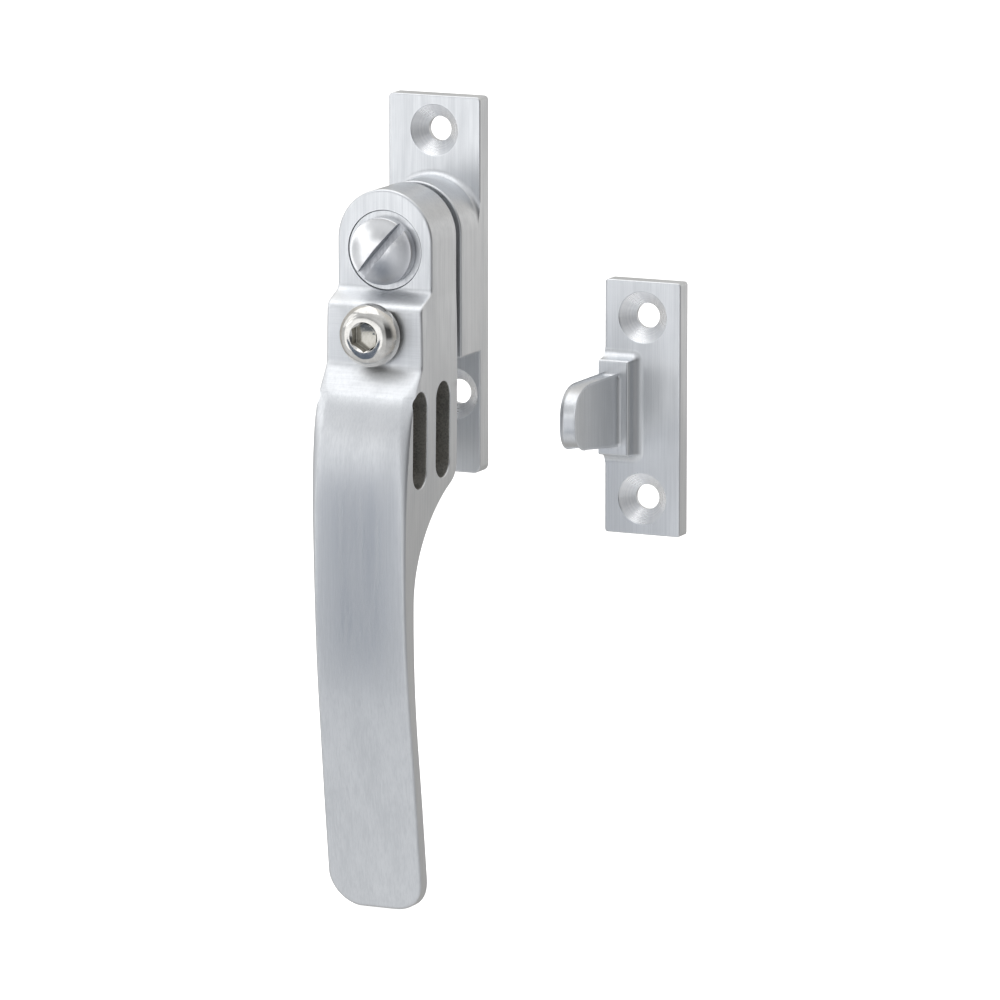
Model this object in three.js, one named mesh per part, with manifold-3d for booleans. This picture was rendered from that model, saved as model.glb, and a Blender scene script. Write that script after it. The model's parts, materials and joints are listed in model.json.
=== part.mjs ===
// Casement window fastener with a lock screw and two night-vent slots, and its hook plate.
// Millimetres, +Z up. The pivot axis is the line X = 0, Z = 0. Y = 0 is the wall plane that both plates
// are screwed to, and the fastener stands out from it towards -Y, where the user is.
import * as THREE from "three";
import { mergeVertices } from "three/addons/utils/BufferGeometryUtils.js";
import Module from "manifold-3d";

const wasm = await Module();
wasm.setup();

// Driving dimensions.
const ROUND_SEGMENTS = 40; // facets in a full circle
const CURVE_SEGMENTS = 10; // points along each curve of a large outline
const SMALL_SEGMENTS = 5; // the same, for small corners and for the domes of screw heads
const RUNNING_GAP = 0.1; // between pieces that turn, slide or rest on each other

const SCREW_HOLE = { radius: 2.2, sinkRadius: 4.6 }; // for a countersunk No. 8 wood screw

const PLATE = { halfWidth: 8.9, top: 24.8, bottom: -42.2, thickness: 3.6 };
const PLATE_CORNERS = { topRadius: 0.8, bottomRadius: 1.4 };
const PLATE_HOLES = [
  { x: 0, z: 18.6 },
  { x: 3.8, z: -28.1 }, // set to one side, where the handle leaves room for a screwdriver
];
const BOSS = { arcCentre: 1.7, bottom: -20.3, front: -11.4, filletRadius: 1.3 };

const HANDLE = {
  back: -13.7,
  padFront: -23.9, // face around the pivot screw
  lockPadFront: -28.3, // face around the lock screw
  gripFront: -35.1, // the lever's foremost line
  halfWidth: 9.1,
  shoulder: -8, // the sides are straight down to here, then swell a little before the waist
  waistHalfWidth: 8.85,
  endHalfWidth: 9.05,
  arcCentre: 1.6,
  bottom: -116.5,
  leftCornerRadius: 6.8, // ground by hand, so the end's two corners differ
  rightCornerRadius: 5.2,
};
const VENT_SLOTS = [
  { y: -29.05, z: -32.2 },
  { y: -19.75, z: -31.6 },
];
const VENT_SLOT = { radius: 2.85, length: 17 };

const PIVOT = {
  boreRadius: 4.9,
  seatRadius: 7.15, // recess for the face washer
  seatDepth: 1.5,
  shoulderRadius: 4,
  threadRadius: 3,
  threadEnd: -3.2,
  headRadius: 5.95,
  headHeight: 1.7,
  domeHeight: 1.1,
  slotWidth: 1.7,
  slotDepth: 1.6,
  slotAngle: THREE.MathUtils.degToRad(49), // from +X towards +Z
};
const FACE_WASHER = { radius: 7, thickness: 1.2 };
const THRUST_WASHER = { radius: 7, thickness: 0.7 };
const SPRING_WASHER = { innerRadius: 4.5, outerRadius: 7, thickness: 0.5, waves: 3, waveHeight: 0.3 };

const LOCK = {
  z: -14.1,
  threadRadius: 3,
  headRadius: 5.6,
  headHeight: 3.3,
  crownRadius: 3.3, // flat front of the head, around the socket
  rimHeight: 0.5, // straight edge of the head
  headStandOff: 1, // unlocked: how far the head is from the handle
  socketAcrossFlats: 4.6,
  socketDepth: 2,
  tipRadius: 2.7,
  tipGap: 0.15, // unlocked: how far the tip is from the boss
  grooveRadius: 2.2,
  clipRadius: 4.5,
  clipThickness: 0.8,
  clipPocketRadius: 4.8,
  clipPocketDepth: 1.3,
  holeRadius: 3, // in the boss, for the tip
  holeDepth: 4,
};

const HOOK = {
  x: 40,
  z: -28.25,
  halfWidth: 7.2,
  halfHeight: 22.5,
  thickness: 3.25,
  cornerRadius: 0.8,
  holeSpacing: 32.2,
  blockWidth: 5.8,
  blockFront: -6,
  blockTop: -19.6,
  blockBottom: -36.6,
};
const TONGUE = {
  left: 33.7,
  thickness: 2.9,
  end: -23.8,
  top: -22.4,
  rootBottom: -34.9,
  endBottom: -32.8,
  topCorner: { length: 6, height: 5 },
  bottomCorner: { length: 4.6, height: 4 },
};

const FINISH = {
  satinSteel: { color: 0xbfc4c8, roughness: 0.38, metalness: 0.95 },
  polishedSteel: { color: 0xd9d8d4, roughness: 0.12, metalness: 1 },
  springSteel: { color: 0x7f858b, roughness: 0.35, metalness: 1 },
  nylon: { color: 0xe6e3da, roughness: 0.55, metalness: 0 },
};

// A closed three.js geometry as a solid that can be joined and cut.
function solid(geometry) {
  const bare = geometry.index ? geometry.toNonIndexed() : geometry.clone();
  bare.deleteAttribute("normal");
  bare.deleteAttribute("uv");
  const merged = mergeVertices(bare, 1e-4);
  return new wasm.Manifold(
    new wasm.Mesh({
      numProp: 3,
      vertProperties: merged.attributes.position.array,
      triVerts: new Uint32Array(merged.index.array),
    }),
  );
}

// A solid as a named mesh with flat-shaded faces.
function piece(name, shape, finish) {
  const { vertProperties, triVerts } = shape.getMesh();
  const indexed = new THREE.BufferGeometry();
  indexed.setAttribute("position", new THREE.BufferAttribute(vertProperties, 3));
  indexed.setIndex(new THREE.BufferAttribute(triVerts, 1));
  const geometry = indexed.toNonIndexed();
  geometry.computeVertexNormals();
  const mesh = new THREE.Mesh(geometry, new THREE.MeshStandardMaterial(finish));
  mesh.name = name;
  return mesh;
}

// A round bar along Y from front to back, or a cone when the two radii differ.
function bar(radius, front, back, backRadius = radius, segments = ROUND_SEGMENTS) {
  const geometry = new THREE.CylinderGeometry(backRadius, radius, back - front, segments);
  geometry.translate(0, (front + back) / 2, 0);
  return solid(geometry);
}

// A flat ring about the Y axis.
function ring(outerRadius, innerRadius, front, back) {
  return bar(outerRadius, front, back).subtract(bar(innerRadius, front - 1, back + 1));
}

// An outline drawn as (X, Z), given depth from front to back along Y.
function extrudeBack(outline, front, back, curveSegments = CURVE_SEGMENTS) {
  const geometry = new THREE.ExtrudeGeometry(outline, {
    depth: back - front,
    bevelEnabled: false,
    curveSegments,
  });
  geometry.rotateX(Math.PI / 2);
  geometry.translate(0, back, 0);
  return solid(geometry);
}

// An outline drawn as (Y, Z), given width from left to right along X.
function extrudeAcross(outline, left, right) {
  const geometry = new THREE.ExtrudeGeometry(outline, {
    depth: right - left,
    bevelEnabled: false,
    curveSegments: CURVE_SEGMENTS,
  });
  const toYZ = new THREE.Matrix4().makeBasis(
    new THREE.Vector3(0, 1, 0),
    new THREE.Vector3(0, 0, 1),
    new THREE.Vector3(1, 0, 0),
  );
  geometry.applyMatrix4(toYZ);
  geometry.translate(left, 0, 0);
  return solid(geometry);
}

// A rectangle with rounded corners, centred on X = 0.
function plateOutline(halfWidth, bottom, top, bottomRadius, topRadius) {
  const outline = new THREE.Shape();
  outline.absarc(halfWidth - topRadius, top - topRadius, topRadius, 0, Math.PI / 2);
  outline.absarc(-halfWidth + topRadius, top - topRadius, topRadius, Math.PI / 2, Math.PI);
  outline.absarc(-halfWidth + bottomRadius, bottom + bottomRadius, bottomRadius, Math.PI, 1.5 * Math.PI);
  outline.absarc(halfWidth - bottomRadius, bottom + bottomRadius, bottomRadius, 1.5 * Math.PI, 2 * Math.PI);
  outline.closePath();
  return outline;
}

// The hollow fillet at the foot of the boss, around its round top and no wider than the plate.
function bossFillet() {
  const { halfWidth, thickness } = PLATE;
  const { arcCentre, filletRadius } = BOSS;
  const inside = halfWidth - 1;
  const foot = halfWidth - 0.1; // just inside the boss, whose facets aren't quite round
  const profile = [new THREE.Vector2(inside, -thickness - filletRadius)];
  for (let i = 0; i <= SMALL_SEGMENTS; i += 1) {
    const angle = (i / SMALL_SEGMENTS) * (Math.PI / 2);
    const radius = foot + filletRadius * (1 - Math.cos(angle));
    profile.push(new THREE.Vector2(radius, -thickness - filletRadius * (1 - Math.sin(angle))));
  }
  profile.push(new THREE.Vector2(inside, -thickness / 2), profile[0].clone());
  const around = solid(new THREE.LatheGeometry(profile, ROUND_SEGMENTS)).translate([0, 0, arcCentre]);
  const keep = new THREE.BoxGeometry(2 * halfWidth, 4 * thickness, 2 * halfWidth);
  keep.translate(0, -2 * thickness, arcCentre + halfWidth);
  return around.intersect(solid(keep));
}

// A through hole with a 90 degree countersink in a plate whose back is at Y = 0.
function screwHole(plateThickness) {
  const { radius, sinkRadius } = SCREW_HOLE;
  const past = 1;
  const sink = bar(sinkRadius + past, -plateThickness - past, -plateThickness + sinkRadius - radius, radius);
  return bar(radius, -plateThickness - past, past).add(sink);
}

// The back plate with the boss that carries the pivot, in one casting.
function backPlate() {
  const { halfWidth, top, bottom, thickness } = PLATE;
  const outline = plateOutline(halfWidth, bottom, top, PLATE_CORNERS.bottomRadius, PLATE_CORNERS.topRadius);
  const plate = extrudeBack(outline, -thickness, 0, SMALL_SEGMENTS);

  const bossOutline = new THREE.Shape();
  bossOutline.absarc(0, BOSS.arcCentre, halfWidth, 0, Math.PI);
  bossOutline.lineTo(-halfWidth, BOSS.bottom);
  bossOutline.lineTo(halfWidth, BOSS.bottom);
  bossOutline.closePath();
  let shape = plate.add(extrudeBack(bossOutline, BOSS.front, -thickness / 2)).add(bossFillet());

  for (const hole of PLATE_HOLES) {
    shape = shape.subtract(screwHole(thickness).translate([hole.x, 0, hole.z]));
  }
  const tappedHole = bar(PIVOT.threadRadius + RUNNING_GAP, BOSS.front - 1, PIVOT.threadEnd + RUNNING_GAP);
  const lockHole = bar(LOCK.holeRadius, BOSS.front - 1, BOSS.front + LOCK.holeDepth);
  return shape.subtract(tappedHole).subtract(lockHole.translate([0, 0, LOCK.z]));
}

// The handle from the side, as (Y, Z): pivot pad, step, lock pad, ramp, lever, then the back edge upwards.
function handleProfile() {
  const { back, padFront, lockPadFront, gripFront, halfWidth, arcCentre, bottom } = HANDLE;
  const profile = new THREE.Shape();
  profile.moveTo(padFront, arcCentre + halfWidth);
  profile.lineTo(padFront, -6.4);
  profile.bezierCurveTo(padFront, -8.4, lockPadFront, -7.8, lockPadFront, -9.9); // step
  profile.lineTo(lockPadFront, -19.4);
  profile.quadraticCurveTo(lockPadFront, -19.9, lockPadFront - 0.45, -20.5); // foot of the ramp
  profile.lineTo(-31.6, -24.3); // crest line across the handle
  profile.bezierCurveTo(-33.9, -27.6, gripFront, -34, gripFront, -46);
  profile.bezierCurveTo(gripFront, -60, -34.6, -70, -33.2, -80);
  profile.lineTo(-28.4, bottom);
  profile.lineTo(-25.1, bottom);
  profile.lineTo(-29.3, -86);
  profile.bezierCurveTo(-30.4, -77, -30.7, -70, -30.7, -61);
  profile.bezierCurveTo(-30.7, -51, -22, -44.1, -16, -41.6);
  profile.quadraticCurveTo(back, -40.6, back, -38);
  profile.lineTo(back, arcCentre + halfWidth);
  profile.closePath();
  return profile;
}

// The handle from the front, as (X, Z): round top, sides that narrow to a waist, round end corners.
function handleFront() {
  const { halfWidth, shoulder, waistHalfWidth, endHalfWidth, arcCentre, bottom } = HANDLE;
  const { leftCornerRadius: left, rightCornerRadius: right } = HANDLE;
  const swell = halfWidth + 0.6;
  const outline = new THREE.Shape();
  outline.absarc(0, arcCentre, halfWidth, 0, Math.PI);
  outline.lineTo(-halfWidth, shoulder);
  outline.bezierCurveTo(-swell, -25, -waistHalfWidth, -48, -waistHalfWidth, -66);
  outline.bezierCurveTo(-waistHalfWidth, -80, -endHalfWidth, -90, -endHalfWidth, -100);
  outline.absarc(left - endHalfWidth, bottom + left, left, Math.PI, 1.5 * Math.PI);
  outline.absarc(endHalfWidth - right, bottom + right, right, 1.5 * Math.PI, 2 * Math.PI);
  outline.lineTo(endHalfWidth, -100);
  outline.bezierCurveTo(endHalfWidth, -90, waistHalfWidth, -80, waistHalfWidth, -66);
  outline.bezierCurveTo(waistHalfWidth, -48, swell, -25, halfWidth, shoulder);
  outline.closePath();
  return outline;
}

// A round-ended slot from side to side, which takes the tongue of the hook plate.
function ventSlot({ y, z }) {
  const { radius, length } = VENT_SLOT;
  const straight = length / 2 - radius;
  const outline = new THREE.Shape();
  outline.absarc(y, z + straight, radius, 0, Math.PI);
  outline.absarc(y, z - straight, radius, Math.PI, 2 * Math.PI);
  outline.closePath();
  return extrudeAcross(outline, -HANDLE.halfWidth - 1, HANDLE.halfWidth + 1);
}

// The handle: one casting with the pivot bore, the lock screw's hole and the vent slots.
function handle() {
  const { back, padFront, lockPadFront, gripFront, halfWidth } = HANDLE;
  const sides = extrudeAcross(handleProfile(), -halfWidth - 1, halfWidth + 1);
  let shape = sides.intersect(extrudeBack(handleFront(), gripFront - 1, back + 1));
  for (const slot of VENT_SLOTS) {
    shape = shape.subtract(ventSlot(slot));
  }
  const pivotBore = bar(PIVOT.boreRadius, padFront - 1, back + 1);
  const washerSeat = bar(PIVOT.seatRadius, padFront - 1, padFront + PIVOT.seatDepth);
  const lockBore = bar(LOCK.threadRadius + RUNNING_GAP, lockPadFront - 1, back + 1);
  const clipPocket = bar(LOCK.clipPocketRadius, back - LOCK.clipPocketDepth, back + 1);
  return shape
    .subtract(pivotBore)
    .subtract(washerSeat)
    .subtract(lockBore.add(clipPocket).translate([0, 0, LOCK.z]));
}

// Faces of the stack on the pivot screw, from the head down to the boss.
const washerBack = HANDLE.padFront + PIVOT.seatDepth - RUNNING_GAP;
const washerFront = washerBack - FACE_WASHER.thickness;
const headBack = washerFront - RUNNING_GAP;
const thrustBack = BOSS.front - RUNNING_GAP;
const thrustFront = thrustBack - THRUST_WASHER.thickness;

// The pivot screw: slotted head with a low dome, plain shoulder to the boss, then the threaded end.
function pivotScrew() {
  const { headRadius, headHeight, domeHeight, shoulderRadius, threadRadius, threadEnd } = PIVOT;
  const headFront = headBack - headHeight;
  const profile = [new THREE.Vector2(0, headFront - domeHeight)];
  for (let i = 1; i <= SMALL_SEGMENTS; i += 1) {
    const share = i / SMALL_SEGMENTS;
    profile.push(new THREE.Vector2(headRadius * share, headFront - domeHeight * (1 - share ** 2)));
  }
  profile.push(
    new THREE.Vector2(headRadius, headBack),
    new THREE.Vector2(shoulderRadius, headBack),
    new THREE.Vector2(shoulderRadius, thrustBack),
    new THREE.Vector2(threadRadius, thrustBack),
    new THREE.Vector2(threadRadius, threadEnd),
    new THREE.Vector2(0, threadEnd),
  );
  const turned = solid(new THREE.LatheGeometry(profile, ROUND_SEGMENTS));
  const slot = new THREE.BoxGeometry(4 * headRadius, 2 * PIVOT.slotDepth, PIVOT.slotWidth);
  slot.rotateY(-PIVOT.slotAngle);
  slot.translate(0, headFront - domeHeight, 0);
  return turned.subtract(solid(slot));
}

// The wave washer that presses the handle against the screw's head and gives the friction.
function springWasher() {
  const { innerRadius, outerRadius, thickness, waves, waveHeight } = SPRING_WASHER;
  const middle = (HANDLE.back + thrustFront) / 2;
  const outline = new THREE.Shape();
  outline.absarc(0, 0, outerRadius, 0, 2 * Math.PI);
  outline.holes.push(new THREE.Path().absarc(0, 0, innerRadius, 0, 2 * Math.PI, true));
  const geometry = new THREE.ExtrudeGeometry(outline, {
    depth: thickness,
    bevelEnabled: false,
    curveSegments: ROUND_SEGMENTS / 2,
  });
  geometry.rotateX(Math.PI / 2);
  geometry.translate(0, middle + thickness / 2, 0);
  const position = geometry.attributes.position;
  for (let i = 0; i < position.count; i += 1) {
    const angle = Math.atan2(position.getZ(i), position.getX(i));
    position.setY(i, position.getY(i) + waveHeight * Math.cos(waves * angle));
  }
  return solid(geometry);
}

// Faces of the lock screw, unlocked, in its own frame: the Y axis is the screw's axis.
const lockHeadBack = HANDLE.lockPadFront - LOCK.headStandOff;
const clipFront = HANDLE.back - LOCK.clipPocketDepth + RUNNING_GAP;
const clipBack = clipFront + LOCK.clipThickness;

// The lock screw: button head with a hexagon socket, thread, groove for the clip, plain tip.
function lockScrew() {
  const { headRadius, headHeight, crownRadius, rimHeight, threadRadius, grooveRadius, tipRadius } = LOCK;
  const headFront = lockHeadBack - headHeight;
  const profile = [new THREE.Vector2(0, headFront), new THREE.Vector2(crownRadius, headFront)];
  for (let i = 1; i <= SMALL_SEGMENTS; i += 1) {
    const angle = (i / SMALL_SEGMENTS) * (Math.PI / 2);
    const radius = crownRadius + (headRadius - crownRadius) * Math.sin(angle);
    const rise = (headHeight - rimHeight) * (1 - Math.cos(angle));
    profile.push(new THREE.Vector2(radius, headFront + rise));
  }
  profile.push(
    new THREE.Vector2(headRadius, lockHeadBack),
    new THREE.Vector2(threadRadius, lockHeadBack),
    new THREE.Vector2(threadRadius, clipFront - RUNNING_GAP),
    new THREE.Vector2(grooveRadius, clipFront - RUNNING_GAP),
    new THREE.Vector2(grooveRadius, clipBack + RUNNING_GAP),
    new THREE.Vector2(tipRadius, clipBack + RUNNING_GAP),
    new THREE.Vector2(tipRadius, BOSS.front - LOCK.tipGap),
    new THREE.Vector2(0, BOSS.front - LOCK.tipGap),
  );
  const turned = solid(new THREE.LatheGeometry(profile, ROUND_SEGMENTS));
  const cornerRadius = LOCK.socketAcrossFlats / Math.sqrt(3);
  return turned.subtract(bar(cornerRadius, headFront - 1, headFront + LOCK.socketDepth, cornerRadius, 6));
}

// The hook plate, in one casting: plate, block and the tongue that the handle's slots go over.
function hookPlate() {
  const { halfWidth, halfHeight, thickness, cornerRadius, blockWidth, blockFront } = HOOK;
  const { blockTop, blockBottom } = HOOK;
  const outline = plateOutline(halfWidth, -halfHeight, halfHeight, cornerRadius, cornerRadius);
  let shape = extrudeBack(outline, -thickness, 0, SMALL_SEGMENTS);

  const block = new THREE.BoxGeometry(blockWidth, -blockFront, blockTop - blockBottom);
  block.translate(blockWidth / 2 - halfWidth, blockFront / 2, (blockTop + blockBottom) / 2 - HOOK.z);
  shape = shape.add(solid(block));

  const { left, end, top, rootBottom, endBottom, topCorner, bottomCorner } = TONGUE;
  const tongue = new THREE.Shape();
  tongue.moveTo(-thickness / 2, top);
  tongue.lineTo(end + topCorner.length, top);
  tongue.quadraticCurveTo(end, top, end, top - topCorner.height);
  tongue.lineTo(end, endBottom + bottomCorner.height);
  tongue.quadraticCurveTo(end, endBottom, end + bottomCorner.length, endBottom);
  tongue.lineTo(-thickness / 2, rootBottom);
  tongue.closePath();
  const blade = extrudeAcross(tongue, left, left + TONGUE.thickness);
  shape = shape.add(blade.translate([-HOOK.x, 0, -HOOK.z]));

  for (const side of [-1, 1]) {
    shape = shape.subtract(screwHole(thickness).translate([0, 0, (side * HOOK.holeSpacing) / 2]));
  }
  return shape;
}

const fastener = new THREE.Group();
const boreGap = PIVOT.shoulderRadius + RUNNING_GAP;
fastener.add(
  piece("back_plate", backPlate(), FINISH.satinSteel),
  piece("handle", handle(), FINISH.satinSteel),
  piece("pivot_screw", pivotScrew(), FINISH.satinSteel),
  piece("face_washer", ring(FACE_WASHER.radius, boreGap, washerFront, washerBack), FINISH.satinSteel),
  piece(
    "pivot_bush",
    ring(PIVOT.boreRadius - RUNNING_GAP, boreGap, washerBack + RUNNING_GAP, HANDLE.back),
    FINISH.nylon,
  ),
  piece("spring_washer", springWasher(), FINISH.springSteel),
  piece("thrust_washer", ring(THRUST_WASHER.radius, boreGap, thrustFront, thrustBack), FINISH.springSteel),
);

// The lock screw and its clip share the screw's own axis.
const lock = new THREE.Group();
lock.position.set(0, 0, LOCK.z);
lock.add(
  piece("lock_screw", lockScrew(), FINISH.polishedSteel),
  piece(
    "lock_screw_clip",
    ring(LOCK.clipRadius, LOCK.grooveRadius + RUNNING_GAP, clipFront, clipBack),
    FINISH.springSteel,
  ),
);
fastener.add(lock);

const hook = piece("hook_plate", hookPlate(), FINISH.satinSteel);
hook.position.set(HOOK.x, 0, HOOK.z);
fastener.add(hook);

export default fastener;
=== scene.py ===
import json
import math

import bmesh
import bpy
import numpy as np
from mathutils import Matrix, Vector

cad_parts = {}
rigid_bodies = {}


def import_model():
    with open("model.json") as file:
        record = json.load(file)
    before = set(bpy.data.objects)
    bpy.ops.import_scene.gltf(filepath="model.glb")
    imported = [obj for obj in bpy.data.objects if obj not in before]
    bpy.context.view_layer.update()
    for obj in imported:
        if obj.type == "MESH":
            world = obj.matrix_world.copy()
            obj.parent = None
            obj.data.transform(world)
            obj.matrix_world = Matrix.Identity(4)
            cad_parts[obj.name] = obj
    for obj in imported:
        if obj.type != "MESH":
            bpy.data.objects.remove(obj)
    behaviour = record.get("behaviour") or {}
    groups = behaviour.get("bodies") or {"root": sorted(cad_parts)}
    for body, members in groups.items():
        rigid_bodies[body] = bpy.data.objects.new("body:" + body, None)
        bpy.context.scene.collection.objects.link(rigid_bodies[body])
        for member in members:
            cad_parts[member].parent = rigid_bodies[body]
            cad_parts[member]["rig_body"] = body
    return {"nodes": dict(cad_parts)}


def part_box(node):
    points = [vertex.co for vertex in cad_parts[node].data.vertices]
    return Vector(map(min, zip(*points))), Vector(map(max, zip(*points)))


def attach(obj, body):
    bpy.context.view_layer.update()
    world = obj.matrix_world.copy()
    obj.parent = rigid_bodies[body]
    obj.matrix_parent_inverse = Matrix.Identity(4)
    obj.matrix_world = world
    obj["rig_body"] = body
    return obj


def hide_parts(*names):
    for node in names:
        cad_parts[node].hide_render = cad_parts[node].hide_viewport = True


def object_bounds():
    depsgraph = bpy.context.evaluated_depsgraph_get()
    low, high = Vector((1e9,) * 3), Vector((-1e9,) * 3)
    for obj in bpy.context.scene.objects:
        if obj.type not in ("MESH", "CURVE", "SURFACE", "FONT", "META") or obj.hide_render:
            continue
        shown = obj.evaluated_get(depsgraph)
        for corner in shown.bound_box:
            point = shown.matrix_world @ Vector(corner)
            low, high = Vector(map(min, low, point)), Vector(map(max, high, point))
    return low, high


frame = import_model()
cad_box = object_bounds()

# Lengths are millimetres unless a name says otherwise, and become metres when a mesh is made.
# X is to the right, -Y towards the user and +Z up. The pivot axis is X = 0, Z = 0.
MM = 0.001

CAMERA_AZIMUTH = 24.753  # degrees
CAMERA_ELEVATION = 10.379
CAMERA_DISTANCE = 1413.43  # from the pivot axis at the wall plane
CAMERA_ASIDE = 10.066  # how far the picture's centre is to the right of that point, and below it
CAMERA_BELOW = 47.37
CAMERA_LENS = 288
CAMERA_SENSOR = 36

FLOOR_GAP = 0.3  # from the handle's end to the floor
FLOOR_SIZE = 20000

SHARP_ANGLE = 32  # degrees: a sharper edge than this is shaded as an edge
TURNED_SEGMENTS = 96

SCREW_HOLE = {"radius": 2.2, "sink_radius": 4.5, "edge_break": 0.12}
PLATE_EDGE = 0.3
PLATE_BACK_EDGE = 0.15
PLATE_TOP_CORNER = 0.8
PLATE_BOTTOM_CORNER = 1.4
PLATE_THICKNESS = 3.6
PLATE_HOLES = [(0, 18.6), (3.8, -28.1)]
BOSS_HOLES = [((0, 0), 3.1, 8.3), ((0, -14.1), 3.0, 4.0)]  # middle, radius and depth
BOSS_ARC_CENTRE = 1.7
BOSS_BOTTOM = -20.3
BOSS_EDGE = 0.35
BOSS_CORNER = 0.4
BOSS_FILLET = 1.3

PAD_FRONT = -23.9  # the face round the pivot screw
LOCK_PAD_FRONT = -28.3  # the face round the lock screw
STEP_TOP = -6.4
RAMP_FOOT = -24.3
HANDLE_ARC_CENTRE = 1.6
HANDLE_SHOULDER = (9.1, -8)  # half width and height; above this the sides are straight
HANDLE_SWELL = (9.69, -25)
HANDLE_WAIST = (8.85, -66)
HANDLE_END = (9.05, -100)
HANDLE_CORNER = 6.0  # at the lever's end
CORNER_ROUNDNESS = {-1: 1.1, 1: 0.8}  # by side: left rounder than a circle's arc, right squarer
RIM_STEPS = 6
TOP_FAN_STEPS = 48
CORNER_FAN_STEPS = 14
VENT_SLOTS = [(-29.05, -32.2), (-19.75, -31.6)]
VENT_SLOT_RADIUS = 2.85
VENT_SLOT_LENGTH = 17
VENT_SLOT_FLARE = 0.15
PIVOT_BORE = {"radius": 4.9, "seat_radius": 7.06, "seat_depth": 1.5}
LOCK_BORE = {"radius": 3.1, "pocket_radius": 4.8, "pocket_depth": 1.3}

LOCK_HEIGHT = -14.1
SOCKET_CORNER = 4.6 / math.sqrt(3)  # from the middle; 4.6 across flats
PIVOT_SLOT = {"width": 1.7, "depth": 2.0, "angle": 49}
WASHER_WAVES = 3
SPRING_WASHER = {"inner": 4.5, "edge": 0.1, "wave": 0.3, "thickness": 0.5}

HOOK_THICKNESS = 3.25
HOOK_CORNER = 0.6
HOOK_HOLE_SPACING = 32.2
BLOCK = {"width": 5.8, "front": -6, "top": -19.6, "bottom": -36.6, "foot": 1.7, "edge": 0.45}
TONGUE = {"left": 33.7, "thickness": 2.9, "top": -22.4, "root_bottom": -34.9, "end_bottom": -32.8}
TONGUE_TOP_CORNER = (6, 5)  # along Y and Z
TONGUE_BOTTOM_CORNER = (4.6, 4)
TONGUE_EDGE = 0.55
TONGUE_FILLET = 0.7

SATIN_BRIGHT = (0.84, 0.855, 0.875)
SATIN_DARK = (0.74, 0.757, 0.778)
# The step, lock pad and ramp: brushed across, in a lighter copy of the satin steel that is painted light.
PAD_LIT_BRIGHT = (0.91, 0.925, 0.945)
PAD_LIT_DARK = (0.82, 0.835, 0.855)
# The pivot screw: its lit colour, and the painted shade towards the head's lower right.
SCREW_LIT = (0.97, 0.975, 0.985)
SCREW_PAINTED_SHADE = (0.54, 0.55, 0.575)
# The pivot screw's slot: a darker copy of the steel, painted shade.
SLOT_SHADED_BRIGHT = (0.64, 0.655, 0.685)
SLOT_SHADED_DARK = (0.48, 0.49, 0.515)
# The countersinks' turned steel: lighter than the plates' steel, as painted light.
TURNED_BRIGHT = (0.95, 0.955, 0.965)
TURNED_DARK = (0.72, 0.735, 0.76)
# The vent slots' walls: a darker copy of the steel, painted shade inside the slots.
VENT_WALL_SHADED_BRIGHT = (0.58, 0.57, 0.54)
VENT_WALL_SHADED_DARK = (0.32, 0.315, 0.30)
SOCKET_PAINTED_SHADE = (0.16, 0.15, 0.13)  # painted shade deep inside the socket
POLISHED_BRIGHT = (0.80, 0.785, 0.755)
POLISHED_DARK = (0.68, 0.665, 0.635)
# The socket's walls: a darker copy of the polished steel, painted shade.
SOCKET_SHADED_BRIGHT = (0.62, 0.60, 0.55)
SOCKET_SHADED_DULL = (0.48, 0.465, 0.42)
SPRING_BRIGHT = (0.46, 0.47, 0.48)
SPRING_DARK = (0.30, 0.31, 0.32)
NYLON_PALE = (0.84, 0.83, 0.78)
NYLON_DEEP = (0.74, 0.72, 0.66)
# Shade painted into the satin steel's corners and creases: how far it reaches and how dark it gets.
PAINTED_SHADE_REACH = 2.0
PAINTED_CORNER_SHADE = 0.92  # colour of the painted shade deep in a corner, as a share of the dark streaks' colour
# How far the painted shade in the socket and hollows reaches.
SOCKET_SHADE_REACH = 2.8

# Brightness of the surroundings by height of direction (-1 down, 1 up): ahead of the object to the left,
# ahead of it to the right, where it is darker, and behind it.
AHEAD_LEFT = [
    (-1.0, 0.62), (-0.55, 0.70), (-0.35, 0.70), (-0.18, 0.63), (-0.04, 0.55), (0.1, 0.43), (0.36, 0.68),
    (0.55, 0.64), (0.75, 0.76), (1.0, 0.85),
]
AHEAD_RIGHT = [
    (-1.0, 0.5), (-0.4, 0.5), (-0.25, 0.42), (-0.1, 0.1), (0.3, 0.06), (0.5, 0.25), (0.7, 0.6),
    (1.0, 0.85),
]
BEHIND = [(-1.0, 0.4), (-0.4, 0.4), (-0.15, 0.43), (0.1, 0.47), (0.25, 0.55), (0.7, 0.7), (1.0, 0.85)]
AHEAD_TINT = (0.985, 1.0, 1.02)
BEHIND_TINT = (1.02, 1.0, 0.965)
RIGHT_FROM_X = (0.4, 0.62)  # directions between these turn from the left's brightness to the right's
BEHIND_FROM_Y = (-0.35, 0.35)
LEVER_FLAG = {
    "centre": (-66, -171, -91),
    "aim": (0, -35, -91),
    "half_width": 31,
    "top_half_width": 40,
    "half_height": 48,
    "glow": (0.14, 0.17, 0.22),
}
SOFTBOXES = [  # name, direction to it from the pivot, distance, width, height and radiance
    ("key", (-0.41, -0.89, -0.16), 480, 420, 212, 0.65),
    ("side", (-0.67, -0.73, 0.12), 480, 130, 120, 0.75),
    ("overhead", (-0.35, -0.2, 1.0), 1200, 1300, 1300, 0.62),
    ("left", (-0.88, -0.42, 0.3), 800, 450, 450, 0.6),
    ("rim", (0.53, 0.85, 0.01), 400, 200, 200, 0.3),
]


# ---- Points and outlines


def node_box(name):
    """A CAD node's lowest and highest corner, in millimetres."""
    low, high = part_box(name)
    return low / MM, high / MM


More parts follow.
